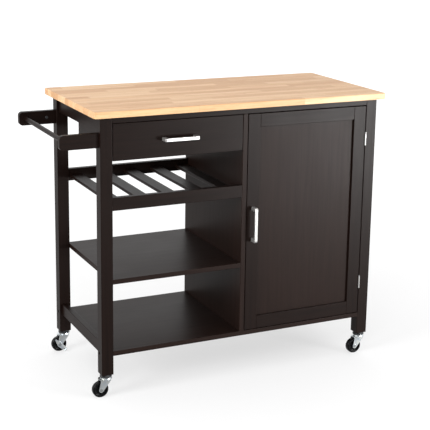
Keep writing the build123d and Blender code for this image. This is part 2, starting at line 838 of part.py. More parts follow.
# butt hinges: five knuckles on one pin, the leaves folded into the gap at the door's edge
knuckle_radius = 2.4
pin_of_hinge_radius = 1.2
hinge_pin_overhang = 1
tight_gap = 0.03                   # pin in the frame leaf's own knuckles
knuckle_gap = 0.2
hinge_axis = (door_right - door_gap / 2, frame_front - 2.3)
knuckle_count = 5
knuckle_length = (hinge_height - (knuckle_count - 1) * knuckle_gap) / knuckle_count
leaf_spans = {
    "frame": (door_right - hinge_leaf_sheet, door_right),
    "door": (door_x[1], door_x[1] + hinge_leaf_sheet),
}
leaf_back = frame_front + hinge_leaf_width
leaf_relief = frame_front + 0.4


def knuckle_z(centre, index):
    """Lower end of one of a hinge's knuckles."""
    return centre - hinge_height / 2 + index * (knuckle_length + knuckle_gap)


def hinge_leaf(centre, owner, bore):
    """One leaf with its own knuckles; it stands clear of the other leaf's knuckles."""
    x = leaf_spans[owner]
    own = range(0, knuckle_count, 2) if owner == "frame" else range(1, knuckle_count, 2)
    leaf_middle = (span_centre(x), (leaf_relief + leaf_back) / 2)
    neck_middle = (span_centre(x), (hinge_axis[1] + leaf_relief) / 2)
    with BuildPart() as leaf:
        with BuildSketch(Plane.XY.offset(centre - hinge_height / 2)):
            with Locations(leaf_middle):
                Rectangle(hinge_leaf_sheet, leaf_back - leaf_relief)
        extrude(amount=hinge_height)
        for index in own:
            with BuildSketch(Plane.XY.offset(knuckle_z(centre, index))):
                with Locations(neck_middle):
                    Rectangle(hinge_leaf_sheet, leaf_relief - hinge_axis[1])
                with Locations(hinge_axis):
                    Circle(knuckle_radius)
                    Circle(bore, mode=Mode.SUBTRACT)
            extrude(amount=knuckle_length)
    return leaf.part


with BuildPart() as hinge_frame_leaves:
    for centre in hinge_centres:
        add(hinge_leaf(centre, "frame", pin_of_hinge_radius + tight_gap))
        with BuildSketch(Plane.XY.offset(centre - hinge_height / 2 - hinge_pin_overhang)):
            with Locations(hinge_axis):
                Circle(pin_of_hinge_radius)
        extrude(amount=hinge_height + 2 * hinge_pin_overhang)
    add(wood_screws.part, mode=Mode.SUBTRACT)
save(hinge_frame_leaves.part, "hinge_frame_leaves")

with BuildPart() as hinge_door_leaves:
    for centre in hinge_centres:
        add(hinge_leaf(centre, "door", pin_of_hinge_radius + running_gap))
save(hinge_door_leaves.part, "hinge_door_leaves")

stile_z = (door_bottom, door_top)
door_stiles = {
    "door_stile_left": (door_x[0], door_inside_x[0]),
    "door_stile_right": (door_inside_x[1], door_x[1]),
}
for name, x in door_stiles.items():
    save(board_solid(x, door_y, stile_z, cuts=(door_panel, door_handle_screws)), name)

door_rails = {
    "door_rail_top": (door_inside_z[1], door_top),
    "door_rail_bottom": (door_bottom, door_inside_z[0]),
}
for name, z in door_rails.items():
    save(board_solid(door_inside_x, door_y, z, cuts=(door_panel,)), name)
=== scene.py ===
"""Looks of the kitchen island cart: materials, detailed hardware, light and camera around the CAD frame."""

import math

import bmesh
import bpy
from mathutils import Matrix, Vector


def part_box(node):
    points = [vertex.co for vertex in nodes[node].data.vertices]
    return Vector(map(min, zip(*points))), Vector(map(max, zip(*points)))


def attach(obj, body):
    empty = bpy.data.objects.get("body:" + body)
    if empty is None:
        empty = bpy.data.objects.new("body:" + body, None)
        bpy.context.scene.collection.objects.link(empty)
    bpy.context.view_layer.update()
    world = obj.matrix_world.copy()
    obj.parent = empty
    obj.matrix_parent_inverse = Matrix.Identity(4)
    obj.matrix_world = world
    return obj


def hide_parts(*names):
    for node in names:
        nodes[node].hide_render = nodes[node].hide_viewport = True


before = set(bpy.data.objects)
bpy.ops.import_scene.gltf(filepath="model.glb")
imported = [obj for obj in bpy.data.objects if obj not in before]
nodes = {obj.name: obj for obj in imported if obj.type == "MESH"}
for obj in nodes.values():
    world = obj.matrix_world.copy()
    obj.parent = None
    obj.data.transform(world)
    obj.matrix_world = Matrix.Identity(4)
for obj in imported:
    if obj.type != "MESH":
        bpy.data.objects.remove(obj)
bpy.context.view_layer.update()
scene = bpy.context.scene


# ---------------------------------------------------------------- node trees
MIX_FACTOR, MIX_A, MIX_B = 0, 6, 7     # inputs of a Mix node for colours
MIX_RESULT = 2


class Shader:
    """A material under construction: its Principled node and short calls for the nodes that feed it."""

    def __init__(self, name, **plain):
        self.material = bpy.data.materials.new(name)
        self.material.use_nodes = True
        self.tree = self.material.node_tree
        self.surface = self.tree.nodes["Principled BSDF"]
        self.feed(**plain)

    def put(self, socket, value):
        """Links an output to an input socket, or gives the socket a plain value."""
        if isinstance(value, bpy.types.NodeSocket):
            self.tree.links.new(value, socket)
        else:
            socket.default_value = value

    def feed(self, **inputs):
        """Outputs or plain values for the Principled node's inputs."""
        for name, value in inputs.items():
            self.put(self.surface.inputs[name.replace("_", " ")], value)

    def node(self, kind, settings=None, output=0, **inputs):
        """One output of a new node.

        settings are the node's properties. inputs are outputs of other nodes, or plain values. They are
        named after the node's sockets with _ for a space, or numbered i0, i1 and so on.
        """
        made = self.tree.nodes.new("ShaderNode" + kind)
        for name, value in (settings or {}).items():
            setattr(made, name, value)
        for name, value in inputs.items():
            numbered = name[0] == "i" and name[1:].isdigit()
            key = int(name[1:]) if numbered else name.replace("_", " ")
            self.put(made.inputs[key], value)
        return made.outputs[output]

    def place(self):
        """Object coordinates: metres in the frame."""
        return self.node("TexCoord", output="Object")

    def axes(self, vector):
        """The X, Y and Z of a vector."""
        parts = self.tree.nodes.new("ShaderNodeSeparateXYZ")
        self.tree.links.new(vector, parts.inputs[0])
        return parts.outputs

    def math(self, operation, a, b=0.0):
        return self.node("Math", {"operation": operation}, i0=a, i1=b)

    def add(self, vector, other):
        return self.node("VectorMath", {"operation": "ADD"}, i0=vector, i1=other)

    def stretch(self, vector, scale, shift=(0, 0, 0)):
        """vector times scale, plus shift."""
        return self.node("VectorMath", {"operation": "MULTIPLY_ADD"}, i0=vector, i1=scale, i2=shift)

    def noise(self, vector, scale=1.0, detail=4.0, roughness=0.55):
        return self.node("TexNoise", Vector=vector, Scale=scale, Detail=detail, Roughness=roughness)

    def random(self, vector):
        """A random number from 0 to 1 for each value of a vector."""
        return self.node("TexWhiteNoise", {"noise_dimensions": "3D"}, Vector=vector)

    def ramp(self, value, *stops):
        """Colour ramp; each stop is (position, grey or (r, g, b))."""
        made = self.tree.nodes.new("ShaderNodeValToRGB")
        elements = made.color_ramp.elements
        while len(elements) < len(stops):
            elements.new(0.5)
        for element, (position, colour) in zip(elements, stops):
            grey = isinstance(colour, (int, float))
            element.position = position
            element.color = (colour, colour, colour, 1) if grey else (*colour, 1)
        self.tree.links.new(value, made.inputs[0])
        return made.outputs[0]

    def scale_range(self, value, low, high, from_low=0.0, from_high=1.0):
        """A value between from_low and from_high, carried to the range from low to high."""
        return self.node("MapRange", Value=value, From_Min=from_low, From_Max=from_high,
                         To_Min=low, To_Max=high)

    def mix(self, factor, a, b):
        """Two colours mixed; each is an output or a plain (r, g, b)."""
        made = self.tree.nodes.new("ShaderNodeMix")
        made.data_type = "RGBA"
        self.put(made.inputs[MIX_FACTOR], factor)
        for index, colour in ((MIX_A, a), (MIX_B, b)):
            self.put(made.inputs[index], (*colour, 1) if isinstance(colour, tuple) else colour)
        return made.outputs[MIX_RESULT]

    def bump(self, height, distance, under=None):
        """A bump of the given height in metres, over another one if there is one."""
        extra = {"Normal": under} if under else {}
        return self.node("Bump", Height=height, Distance=distance, **extra)


AXES = "xyz"


def along(axis, fine, coarse):
    """Texture scale for a grain that runs along an axis: coarse along it and fine across."""
    return tuple(coarse if name == axis else fine for name in AXES)


def shade(colour, share, lift=0.0):
    """A colour made darker or lighter."""
    return tuple(share * value + lift for value in colour)


# ---------------------------------------------------------------- materials
# Lengths are in metres, and texture scales in cells per metre.
STAVE_WIDTH = 0.0344
STAVE_LENGTHS = (0.26, 0.42)
ROW_SHIFT = 17.3                   # greatest lengthwise shift of a row, in staves
GRAIN_SHIFT = 40.0                 # greatest shift of the grain from one stave to another
OTHER_RANDOM = (31.7, 5.1, 2.3)    # offset for a stave's second random number
WANDER_SCALE = (2.2, 9.0, 9.0)
WANDER_REACH = 0.035
GRAIN_SCALE = (2.6, 85.0, 60.0)
FIBRE_SCALE = (14.0, 620.0, 480.0)
PORE_SCALE = (45.0, 1300.0, 1000.0)
PORE_DEPTH = 0.00012
FLECK_SCALE = (5.0, 150.0, 110.0)
FLECK_OFFSET = (3.1, 7.7, 1.9)
JOINT_EDGES = (0.004, 0.016)       # fading of the joint line, in stave widths
JOINT_DEPTH = 0.00015
JOINT_STRENGTH = 0.55
STAVE_TONES = ((0.0, (0.56, 0.305, 0.135)), (0.3, (0.68, 0.415, 0.21)), (0.6, (0.76, 0.50, 0.28)),
               (0.85, (0.69, 0.41, 0.20)), (1.0, (0.575, 0.31, 0.14)))
STREAK_BROWN = (0.49, 0.235, 0.098)
FLECK_RED = (0.53, 0.21, 0.085)
FIBRE_PALE = (0.84, 0.60, 0.37)
PORE_DARK = (0.33, 0.17, 0.07)
JOINT_DARK = (0.33, 0.18, 0.09)


def butcher_block():
    """Pale staves along X with butt joints, fine grain and short pores, under a satin oil."""
    s = Shader("butcher_block", Specular_IOR_Level=0.3)
    place = s.place()
    x, y, _ = s.axes(place)
    # which stave a point is on
    row = s.math("DIVIDE", y, STAVE_WIDTH)
    row_index = s.math("FLOOR", row)
    row_random = s.node("TexWhiteNoise", {"noise_dimensions": "1D"}, W=row_index)
    length = s.scale_range(row_random, *STAVE_LENGTHS)
    run = s.math("ADD", s.math("DIVIDE", x, length), s.math("MULTIPLY", row_random, ROW_SHIFT))
    stave = s.node("CombineXYZ", X=row_index, Y=s.math("FLOOR", run), Z=0.0)
    tone = s.random(stave)
    second = s.random(s.stretch(stave, (1, 1, 1), OTHER_RANDOM))
    # each stave has its own part of the grain
    shift = s.node("CombineXYZ", X=s.math("MULTIPLY", tone, GRAIN_SHIFT),
                   Y=s.math("MULTIPLY", second, GRAIN_SHIFT), Z=0.0)
    own = s.add(place, shift)
    wander = s.noise(s.stretch(own, WANDER_SCALE), detail=2.0)
    bent = s.add(own, s.node("CombineXYZ", X=0.0, Y=s.math("MULTIPLY", wander, WANDER_REACH), Z=0.0))
    grain = s.noise(s.stretch(bent, GRAIN_SCALE), detail=5.0, roughness=0.6)
    fibre = s.noise(s.stretch(own, FIBRE_SCALE), detail=3.0)
    pores = s.noise(s.stretch(own, PORE_SCALE), detail=2.0)
    fleck = s.noise(s.stretch(bent, FLECK_SCALE, FLECK_OFFSET), detail=3.0, roughness=0.5)
    # the colours, one layer over the other
    base = s.ramp(tone, *STAVE_TONES)
    figure = s.math("MULTIPLY", s.ramp(grain, (0.42, 0.0), (0.66, 1.0)), s.scale_range(second, 0.25, 1.0))
    streaked = s.mix(figure, base, STREAK_BROWN)
    flecked = s.mix(s.ramp(fleck, (0.58, 0.0), (0.70, 0.7)), streaked, FLECK_RED)
    fibred = s.mix(s.ramp(fibre, (0.35, 0.0), (0.8, 0.35)), flecked, FIBRE_PALE)
    pored = s.mix(s.ramp(pores, (0.60, 0.0), (0.74, 0.5)), fibred, PORE_DARK)
    # the joint lines, 1 in their middle
    across = s.math("PINGPONG", row, 0.5)
    lengthwise = s.math("MULTIPLY", s.math("PINGPONG", run, 0.5), s.math("DIVIDE", length, STAVE_WIDTH))
    joint = s.scale_range(s.math("MINIMUM", across, lengthwise), 1.0, 0.0, *JOINT_EDGES)
    pore_bump = s.bump(s.ramp(pores, (0.58, 1.0), (0.74, 0.0)), PORE_DEPTH)
    s.feed(Base_Color=s.mix(s.math("MULTIPLY", joint, JOINT_STRENGTH), pored, JOINT_DARK),
           Roughness=s.scale_range(grain, 0.36, 0.52),
           Normal=s.bump(s.math("SUBTRACT", 1.0, joint), JOINT_DEPTH, under=pore_bump))
    return s.material


def painted_wood(name, axis, colour, roughness=0.36, grain_depth=0.00002):
    """Dark satin paint with the wood's grain just showing through, along one axis."""
    s = Shader(name, Specular_IOR_Level=0.10)
    place = s.place()
    wander = s.noise(s.stretch(place, along(axis, fine=10.0, coarse=1.5)), detail=2.0)
    sway = s.stretch(s.node("CombineXYZ", X=wander, Y=wander, Z=wander), along(axis, fine=0.03, coarse=0.0))
    bent = s.add(place, sway)
    grain = s.noise(s.stretch(bent, along(axis, fine=130.0, coarse=4.0)), detail=5.0, roughness=0.62)
    pores = s.noise(s.stretch(place, along(axis, fine=1500.0, coarse=60.0)), detail=2.0)
    cloud = s.noise(place, scale=7.0, detail=3.0)
    darker = shade(colour, 0.8)
    lighter = shade(colour, 1.2, lift=0.0005)
    tone = s.mix(s.ramp(grain, (0.35, 0.0), (0.7, 1.0)), lighter, darker)
    cloudy = s.scale_range(cloud, roughness - 0.03, roughness + 0.05)
    pore_bump = s.bump(s.ramp(pores, (0.55, 1.0), (0.75, 0.0)), 0.6 * grain_depth)
    s.feed(Base_Color=s.mix(s.ramp(cloud, (0.4, 0.0), (0.75, 0.3)), tone, lighter),
           Roughness=s.math("ADD", s.scale_range(grain, -0.03, 0.05), cloudy),
           Normal=s.bump(grain, grain_depth, under=pore_bump))
    return s.material


def brushed_metal(name, axis, colour, roughness):
    """Metal with fine brushing along one axis."""
    s = Shader(name, Metallic=0.86, Anisotropic=0.5)
    place = s.place()
    brush = s.noise(s.stretch(place, along(axis, fine=5200.0, coarse=90.0)), detail=3.0)
    cloud = s.noise(place, scale=60.0, detail=3.0)
    s.feed(Base_Color=s.mix(s.ramp(cloud, (0.3, 0.0), (0.8, 1.0)), colour, shade(colour, 0.86)),
           Roughness=s.math("ADD", s.scale_range(brush, -0.07, 0.07), roughness),
           Normal=s.bump(brush, 0.000012))
    return s.material


BLUISH = (0.9, 0.95, 1.0)
YELLOWISH = (1.0, 0.97, 0.86)
SPANGLE_GREY = (0.45, 0.46, 0.48)


def plated_steel(name, colour, roughness=0.27):
    """Zinc plate: a slightly cloudy bright surface with fine pitting."""
    s = Shader(name, Metallic=1.0)
    place = s.place()
    cloud = s.noise(place, scale=95.0, detail=4.0)
    spangle = s.node("TexVoronoi", {"feature": "F1"}, Vector=place, Scale=420.0)
    pits = s.noise(place, scale=2600.0, detail=2.0)
    bluish, yellowish = (tuple(a * b for a, b in zip(colour, tint)) for tint in (BLUISH, YELLOWISH))
    tone = s.mix(s.ramp(cloud, (0.35, 0.0), (0.7, 1.0)), bluish, yellowish)
    s.feed(Base_Color=s.mix(s.scale_range(spangle, 0.0, 0.16, 0.0, 0.8), tone, SPANGLE_GREY),
           Roughness=s.scale_range(cloud, roughness - 0.06, roughness + 0.12),
           Normal=s.bump(pits, 0.00002))
    return s.material


def moulded(name, colour, roughness, specular=0.35):
    """Moulded plastic with a fine grain and a slightly cloudy gloss."""
    s = Shader(name, Specular_IOR_Level=specular)
    place = s.place()
    fine = s.noise(place, scale=1900.0, detail=2.0)
    cloud = s.noise(place, scale=70.0, detail=4.0)
    s.feed(Base_Color=s.mix(s.ramp(cloud, (0.45, 0.0), (0.8, 0.5)), colour, shade(colour, 1.3)),
           Roughness=s.scale_range(cloud, roughness - 0.05, roughness + 0.12),
           Normal=s.bump(fine, 0.00002))
    return s.material


def powder_coat(name, colour):
    """Baked powder coat with its orange peel."""
    s = Shader(name, Coat_Weight=0.25, Coat_Roughness=0.25)
    place = s.place()
    peel = s.noise(place, scale=900.0, detail=2.0)
    cloud = s.noise(place, scale=30.0, detail=2.0)
    s.feed(Base_Color=s.mix(cloud, colour, shade(colour, 0.88)),
           Roughness=s.scale_range(cloud, 0.38, 0.5),
           Normal=s.bump(peel, 0.00005))
    return s.material


ESPRESSO = (0.0076, 0.0036, 0.0026)
# lighter than the frame's espresso: partly the panels' own tone, partly painted sheen that brightens the
# door panel and the shelves
PANEL_BROWN_WITH_SHEEN = (0.0122, 0.0060, 0.0044)
DRAWER_BROWN = (0.045, 0.028, 0.02)
NICKEL = (0.64, 0.63, 0.615)
ZINC = (0.74, 0.77, 0.80)
RIVET_ZINC = (0.30, 0.31, 0.32)
NUT_ZINC = (0.10, 0.10, 0.105)
BOLT_ZINC_AND_CAP_SHADE = (0.085, 0.085, 0.09)
RUNNER_GREY = (0.52, 0.52, 0.53)
WHEEL_BLACK = (0.0028, 0.0028, 0.0031)
CATCH_BROWN = (0.06, 0.04, 0.032)

worktop_wood = butcher_block()
paint = {axis: painted_wood(f"dark_paint_{axis}", axis, ESPRESSO) for axis in AXES}
# panels, shelves and divider: the lighter brown carries painted sheen
panel = {axis: painted_wood(f"dark_panel_{axis}", axis, PANEL_BROWN_WITH_SHEEN, roughness=0.38, grain_depth=0.00001)
         for axis in "xz"}
drawer_board = {axis: painted_wood(f"drawer_board_{axis}", axis, DRAWER_BROWN, roughness=0.42)
                for axis in "xy"}
nickel = {axis: brushed_metal(f"brushed_nickel_{axis}", axis, NICKEL, roughness=0.36) for axis in "xz"}
zinc = plated_steel("zinc_steel", ZINC)
rivet_zinc = plated_steel("rivet_zinc", RIVET_ZINC, roughness=0.34)
nut_zinc = plated_steel("nut_zinc", NUT_ZINC, roughness=0.4)
# near-black zinc: the joint bolts' tone, and on the caster stems their bearing cap's tone darkened as
# painted shade under each leg
dark_zinc = plated_steel("dark_zinc", BOLT_ZINC_AND_CAP_SHADE, roughness=0.3)
runner_coat = powder_coat("runner_steel", RUNNER_GREY)
wheel_plastic = moulded("wheel_black", WHEEL_BLACK, roughness=0.24, specular=0.14)
catch_plastic = moulded("catch_plastic", CATCH_BROWN, roughness=0.5)

finishes = {
    worktop_wood: "worktop",
    paint["x"]: "rail_front_top rail_rear_top bottle_rail_front bottle_rail_rear "
                "towel_arm_front towel_arm_rear door_rail_top door_rail_bottom drawer_front",
    paint["y"]: "apron_left rail_left_bottom bottle_slats towel_rod runner_packer",
    paint["z"]: "leg_front_left leg_rear_left leg_front_right leg_rear_right "
                "door_stile_left door_stile_right",
    panel["x"]: "board_bottom shelf_middle cabinet_shelf",
    panel["z"]: "panel_right panel_divider panel_back door_panel",
    drawer_board["x"]: "drawer_back drawer_bottom",
    drawer_board["y"]: "drawer_side_left drawer_side_right",
    nickel["x"]: "drawer_handle",
    nickel["z"]: "door_handle hinge_frame_leaves hinge_door_leaves",
    zinc: "shelf_pins joint_bolts wood_screws drawer_handle_screws door_handle_screws catch_plate",
    # caster stems in near-black zinc: their cap darkened as painted shade under each leg
    dark_zinc: "caster_stems",
    runner_coat: "runners_fixed runners_moving",
    catch_plastic: "catch_magnet",
}
CORNERS = ("front_left", "front_right", "rear_left", "rear_right")
BRAKED = ("rear_left", "rear_right")
material_of = {name: material for material, names in finishes.items() for name in names.split()}
for corner in CORNERS:
    material_of[f"caster_{corner}_fork"] = zinc
    material_of[f"caster_{corner}_axle"] = rivet_zinc
    material_of[f"caster_{corner}_wheel"] = wheel_plastic
    if corner in BRAKED:
        material_of[f"caster_{corner}_brake"] = zinc
for name, node in nodes.items():
    for material_slot in node.material_slots:
        material_slot.material = material_of[name]


# ---------------------------------------------------------------- detailed hardware
MM = 0.001
X_AXIS, Y_AXIS, Z_AXIS = Vector((1, 0, 0)), Vector((0, 1, 0)), Vector((0, 0, 1))
WELD_DISTANCE = 0.001 * MM         # vertices closer than this become one
ROUND_SEGMENTS = 48
SMOOTH_ANGLE = 35                  # degrees; edges sharper than this stay sharp
BEVEL_ANGLE = 40                   # degrees; edges sharper than this are rounded
BEVEL_SEGMENTS = 2
TINY = 1e-6                        # keeps a division finite
SORT_DIGITS = 4                    # of a metre, when solids are put in order


def turned_to(direction, spin=0.0):
    """Rotation that takes +Z to a direction, after a turn about Z."""
    aim = Vector(direction).to_track_quat("Z", "Y").to_matrix().to_4x4()
    return aim @ Matrix.Rotation(spin, 4, "Z")


def grow(bm, build, place):
    """Adds what build(bm) makes, moved by a matrix."""
    before = set(bm.verts)
    build(bm)
    new = [vert for vert in bm.verts if vert not in before]
    bmesh.ops.transform(bm, matrix=place, verts=new)


def angles(count):
    """Evenly spaced angles of a full turn."""
    return [2 * math.pi * i / count for i in range(count)]


def ring_point(radius, angle, height):
    """A point on a circle about Z."""
    return (radius * math.cos(angle), radius * math.sin(angle), height)


def lathe(bm, profile, segments=ROUND_SEGMENTS):
    """Turns (radius, height) points about Z; a first or last radius of 0 closes that end."""
    rings = []
    for radius, height in profile:
        if radius == 0:
            rings.append([bm.verts.new((0, 0, height))])
        else:
            rings.append([bm.verts.new(ring_point(radius, angle, height)) for angle in angles(segments)])
    for low, high in zip(rings, rings[1:]):
        for i in range(segments):
            j = (i + 1) % segments
            if len(low) == 1:
                bm.faces.new((low[0], high[j], high[i]))
            elif len(high) == 1:
                bm.faces.new((low[i], low[j], high[0]))
            else:
                bm.faces.new((low[i], low[j], high[j], high[i]))


RECESS_TAPER = 0.92                # size of a recess's floor to that of its mouth


def recess(bm, outline, top, depth, rim):
    """A flat disc of radius rim at height top with a slightly tapered recess of the outline's shape."""
    count = len(outline)
    outer = [bm.verts.new(ring_point(rim, angle, top)) for angle in angles(count)]
    edge = [bm.verts.new((x, y, top)) for x, y in outline]
    floor = [bm.verts.new((RECESS_TAPER * x, RECESS_TAPER * y, top - depth)) for x, y in outline]
    centre = bm.verts.new((0, 0, top - depth))
    for i in range(count):
        j = (i + 1) % count
        bm.faces.new((outer[i], outer[j], edge[j], edge[i]))
        bm.faces.new((edge[i], edge[j], floor[j], floor[i]))
        bm.faces.new((floor[i], floor[j], centre))


def outline_of(radius_at):
    """Outline whose radius is a function of the angle."""
    return [ring_point(radius_at(angle), angle, 0)[:2] for angle in angles(ROUND_SEGMENTS)]


CROSS_ROOT = 1.15                  # inner corners of a cross recess, in half-widths of its arms


def cross(size, arm):
    """Radius of a cross recess with arms of half-length size and half-width arm."""
    def radius_at(angle):
        narrow, wide = sorted((abs(math.cos(angle)), abs(math.sin(angle))))
        return max(min(size / wide, arm / max(narrow, TINY)), arm * CROSS_ROOT)
    return radius_at


def hexagon(size):
    """Radius of a hexagon recess with the given distance from centre to flat."""
    side = math.pi / 3
    return lambda angle: size / math.cos(angle % side - side / 2)


def slot_shape(size, arm):
    """Radius of a straight slot of half-length size and half-width arm."""
    return lambda angle: min(size, arm / max(abs(math.sin(angle)), TINY))


HEAD_RIM = 0.8                     # radius of a head's flat top, in head radii
HEAD_SHOULDER = 0.93               # radius of the rounded shoulder, in head radii
SHOULDER_RISE = 0.7                # its height, as a share of the dome
RECESS_DEPTH = 0.62                # in head heights
SHANK_TIP = 0.55                   # radius of a shank's blunt tip, in shank radii


def head_and_shank(radius, height, shank, length, drive, dome=0.25):
    """Build function of a screw or bolt seated at z = 0: its head is above and its shank below.

    drive is the radius function of its recess, and dome is the rounded share of the head's height.
    """
    def build(bm):
        crown = height * (1 - dome)
        rim = radius * HEAD_RIM
        shoulder = (radius * HEAD_SHOULDER, crown + height * dome * SHOULDER_RISE)
        lathe(bm, [(0, -length), (shank * SHANK_TIP, -length), (shank, shank - length), (shank, 0),
                   (radius, 0), (radius, crown), shoulder, (rim, height)])
        recess(bm, outline_of(drive), height, height * RECESS_DEPTH, rim)
    return build


def finish_piece(name, bm, material, body, replaced=(), bevel=0.0):
    """Turns a bmesh into a piece of the visual model."""
    bmesh.ops.remove_doubles(bm, verts=bm.verts, dist=WELD_DISTANCE)
    bmesh.ops.recalc_face_normals(bm, faces=bm.faces)
    mesh = bpy.data.meshes.new(name)
    bm.to_mesh(mesh)
    bm.free()
    mesh.materials.append(material)
    piece = bpy.data.objects.new(name, mesh)
    scene.collection.objects.link(piece)
    if bevel:
        modifier = piece.modifiers.new("bevel", "BEVEL")
        modifier.width = bevel
        modifier.segments = BEVEL_SEGMENTS
        modifier.limit_method = "ANGLE"
        modifier.angle_limit = math.radians(BEVEL_ANGLE)
    mesh.shade_smooth()
    mesh.set_sharp_from_angle(angle=math.radians(SMOOTH_ANGLE))
    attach(piece, body)
    if replaced:
        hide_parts(*replaced)


def islands(name):
    """Boxes of a CAD node's separate solids, as (low corner, high corner), in a fixed order."""
    bm = bmesh.new()
    bm.from_mesh(nodes[name].data)
    bmesh.ops.remove_doubles(bm, verts=bm.verts, dist=WELD_DISTANCE)
    left = set(bm.verts)
    found = []
    while left:
        stack = [left.pop()]
        group = list(stack)
        while stack:
            for edge in stack.pop().link_edges:
                for vert in edge.verts:
                    if vert in left:
                        left.remove(vert)
                        stack.append(vert)
                        group.append(vert)
        points = [vert.co for vert in group]
        low = Vector([min(point[k] for point in points) for k in range(3)])
        high = Vector([max(point[k] for point in points) for k in range(3)])
        found.append((low, high))
    bm.free()
    found.sort(key=lambda box: tuple(round(value, SORT_DIGITS) for value in (*box[0], *box[1])))
    return found


FASTENER_TURN = 0.7                # radians between the recesses of one fastener and the next


def fastener_set(name, placed, material, body, replaced=()):
    """One piece from (build function, seat point, head direction) triples."""
    bm = bmesh.new()
    for index, (build, seat, direction) in enumerate(placed):
        grow(bm, build, Matrix.Translation(seat) @ turned_to(direction, FASTENER_TURN * index))
    finish_piece(name, bm, material, body, replaced)


def screw_at(low, high, direction, head_height, head_radius, shank, drive, dome=0.25):
    """A fastener filling a CAD solid's box, its head at the end that direction points to."""
    size = abs((high - low).dot(direction))
    seat = (low + high) / 2 + direction * (size / 2 - head_height)
    return head_and_shank(head_radius, head_height, shank, size - head_height, drive, dome), seat, direction


WOOD_SCREW_HEAD = 1.2 * MM
WOOD_SCREW_SHANK = 1.75 * MM
CROSS_SIZE, CROSS_ARM = 0.62, 0.17     # of a wood screw's recess, in head radii


def wood_screws():
    """Pan-head screws under the top, in the runners and in the hinges."""
    placed = []
    drawer_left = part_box("drawer_front")[0].x
    for low, high in islands("wood_screws"):
        size = high - low
        if size.z > size.x:
            direction, radius = -Z_AXIS, size.x / 2
        else:
            in_left_wall = (low.x + high.x) / 2 < drawer_left
            direction, radius = (X_AXIS if in_left_wall else -X_AXIS), size.y / 2
        drive = cross(CROSS_SIZE * radius, CROSS_ARM * radius)
        placed.append(screw_at(low, high, direction, WOOD_SCREW_HEAD, radius, WOOD_SCREW_SHANK, drive))
    fastener_set("wood_screw_set", placed, zinc, "cart", ["wood_screws"])


JOINT_BOLT = dict(head_height=4 * MM, shank=3 * MM, drive=hexagon(2.6 * MM), dome=0.12)
NUT_HEAD = 3 * MM
NUT_DOME = 0.15
NUT_SLOT, NUT_SLOT_ARM = 0.72, 0.16    # in nut radii


def joint_bolts():
    """Hexagon-socket bolts of the legs and the towel arms, and the slotted barrel nuts of the arms."""
    bolts, nuts = [], []
    arm_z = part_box("towel_rod")[0].z
    for low, high in islands("joint_bolts"):
        size = high - low
        middle = (low + high) / 2
        if size.x > size.y:
            faces_right = middle.x > 0 or middle.z > arm_z
            direction = X_AXIS if faces_right else -X_AXIS
            bolts.append(screw_at(low, high, direction, head_radius=size.y / 2, **JOINT_BOLT))
        else:
            direction = Y_AXIS if middle.y < 0 else -Y_AXIS
            radius = size.x / 2
            drive = slot_shape(NUT_SLOT * radius, NUT_SLOT_ARM * radius)
            nuts.append(screw_at(low, high, direction, NUT_HEAD, radius, radius, drive, NUT_DOME))
    fastener_set("joint_bolt_set", bolts, dark_zinc, "cart", ["joint_bolts"])
    fastener_set("barrel_nuts", nuts, nut_zinc, "cart")


HANDLE_SCREW = dict(head_height=2.2 * MM, head_radius=4 * MM, shank=2 * MM,
                    drive=cross(size=2.4 * MM, arm=0.6 * MM), dome=0.35)


def handle_screws(body):
    """Pan-head machine screws behind a handle."""
    name = f"{body}_handle_screws"
    placed = [screw_at(low, high, Y_AXIS, **HANDLE_SCREW) for low, high in islands(name)]
    fastener_set(f"{body}_handle_screw_set", placed, zinc, body, [name])


HINGE_LEAF_SHEET = 0.93 * MM       # the leaf's outer face, from the stile
SMALL_SCREW_OFFSETS = (-12 * MM, 12 * MM)
HINGE_SCREW_INSET = 8 * MM         # from the door's face
HINGE_SCREW = dict(radius=2.8 * MM, height=1.0 * MM, shank=1.5 * MM, length=13 * MM,
                   drive=cross(size=1.7 * MM, arm=0.45 * MM), dome=0.05)


def hinge_leaf_screws():
    """Flush screws that hold the hinges' door leaves."""
    placed = []
    low_corner, high_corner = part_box("door_stile_right")
    seat_x = high_corner.x + HINGE_LEAF_SHEET - HINGE_SCREW["height"]
    for low, high in islands("hinge_door_leaves"):
        for offset in SMALL_SCREW_OFFSETS:
            seat = Vector((seat_x, low_corner.y + HINGE_SCREW_INSET, (low.z + high.z) / 2 + offset))
            placed.append((head_and_shank(**HINGE_SCREW), seat, X_AXIS))
    fastener_set("hinge_leaf_screws", placed, zinc, "door")


CATCH_SCREW = dict(radius=2.6 * MM, height=0.9 * MM, shank=1.2 * MM, length=8 * MM,
                   drive=cross(size=1.6 * MM, arm=0.42 * MM), dome=0.5)
POLE_SHARES = (0.3, 0.7)           # places of the poles across the magnet
POLE_WIDTH = 1.4 * MM
POLE_DEPTH = 1.2 * MM
POLE_SUNK = 0.35 * MM              # middle of a pole behind the magnet's face
POLE_HEIGHT_SHARE = 0.7
POLE_BEVEL = 0.15 * MM


def catch_hardware():
    """Screws of the catch's steel plate, and the magnet's two pole strips."""
    low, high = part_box("catch_plate")
    middle = (low + high) / 2
    placed = [(head_and_shank(**CATCH_SCREW), Vector((middle.x, high.y, middle.z + offset)), Y_AXIS)
              for offset in SMALL_SCREW_OFFSETS]
    fastener_set("catch_plate_screws", placed, zinc, "door")
    low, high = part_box("catch_magnet")
    bm = bmesh.new()
    for share in POLE_SHARES:
        centre = (low.x + share * (high.x - low.x), low.y + POLE_SUNK, (low.z + high.z) / 2)
        strip = bmesh.ops.create_cube(bm, size=1.0)["verts"]
        bmesh.ops.scale(bm, vec=(POLE_WIDTH, POLE_DEPTH, POLE_HEIGHT_SHARE * (high.z - low.z)), verts=strip)
        bmesh.ops.translate(bm, vec=centre, verts=strip)
    finish_piece("catch_poles", bm, zinc, "cart", bevel=POLE_BEVEL)


